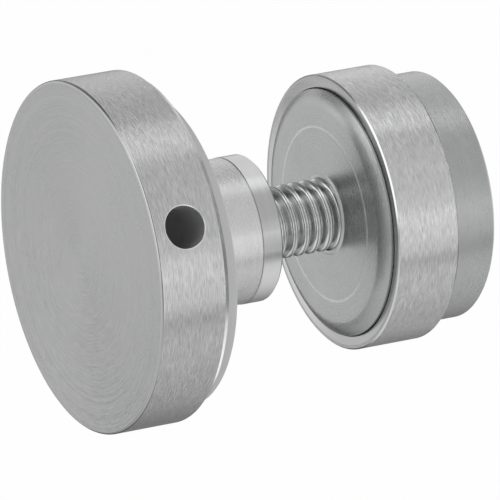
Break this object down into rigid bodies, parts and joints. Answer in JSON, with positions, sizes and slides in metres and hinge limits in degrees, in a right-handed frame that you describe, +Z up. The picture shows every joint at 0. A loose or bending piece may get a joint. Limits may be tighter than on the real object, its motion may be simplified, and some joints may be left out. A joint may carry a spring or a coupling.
{
  "type": "fixed glass panel bracket",
  "caption": "Round stainless bracket that clamps a glass panel: a disc cap with a boss screws along a threaded stud in a turned rear body with a loose cover sleeve.",
  "frame": {"origin": "centre of the rear body's wall face", "axes": "+Y along the bracket's axis into the wall, front cap towards -Y, +Z up"},
  "size_m": [0.038, 0.043, 0.038],
  "materials": {
    "cap_steel": "turned face, rim brushed round, end of the boss smooth",
    "gasket_plastic": "plain matte",
    "stud_steel": "bright rolled thread",
    "body_steel": "finely turned",
    "sleeve_steel": "brushed round"
  },
  "bodies": {
    "base": {"rear_body": "body_steel", "threaded_stud": "stud_steel"},
    "sleeve": {"cover_sleeve": "sleeve_steel"},
    "gasket": {"front_gasket": "gasket_plastic"},
    "cap": {"front_cap": "cap_steel"}
  },
  "joints": [
    {"name": "sleeve_slide", "type": "slide", "parent": "base", "child": "sleeve", "axis": [0, 1, 0], "range_m": [0, 0.0052]},
    {"name": "cap_travel", "type": "slide", "parent": "base", "child": "gasket", "axis": [0, 1, 0], "range_m": [-0.00353, 0.00898]},
    {"name": "cap_turn", "type": "hinge", "parent": "gasket", "child": "cap", "pos_m": [0, -0.039, 0], "axis": [0, 1, 0], "range_deg": [-900, 2290]}
  ],
  "couplings": [
    {"joint": "cap_travel", "follows": "cap_turn", "m_per_rad": 0.00022458}
  ]
}
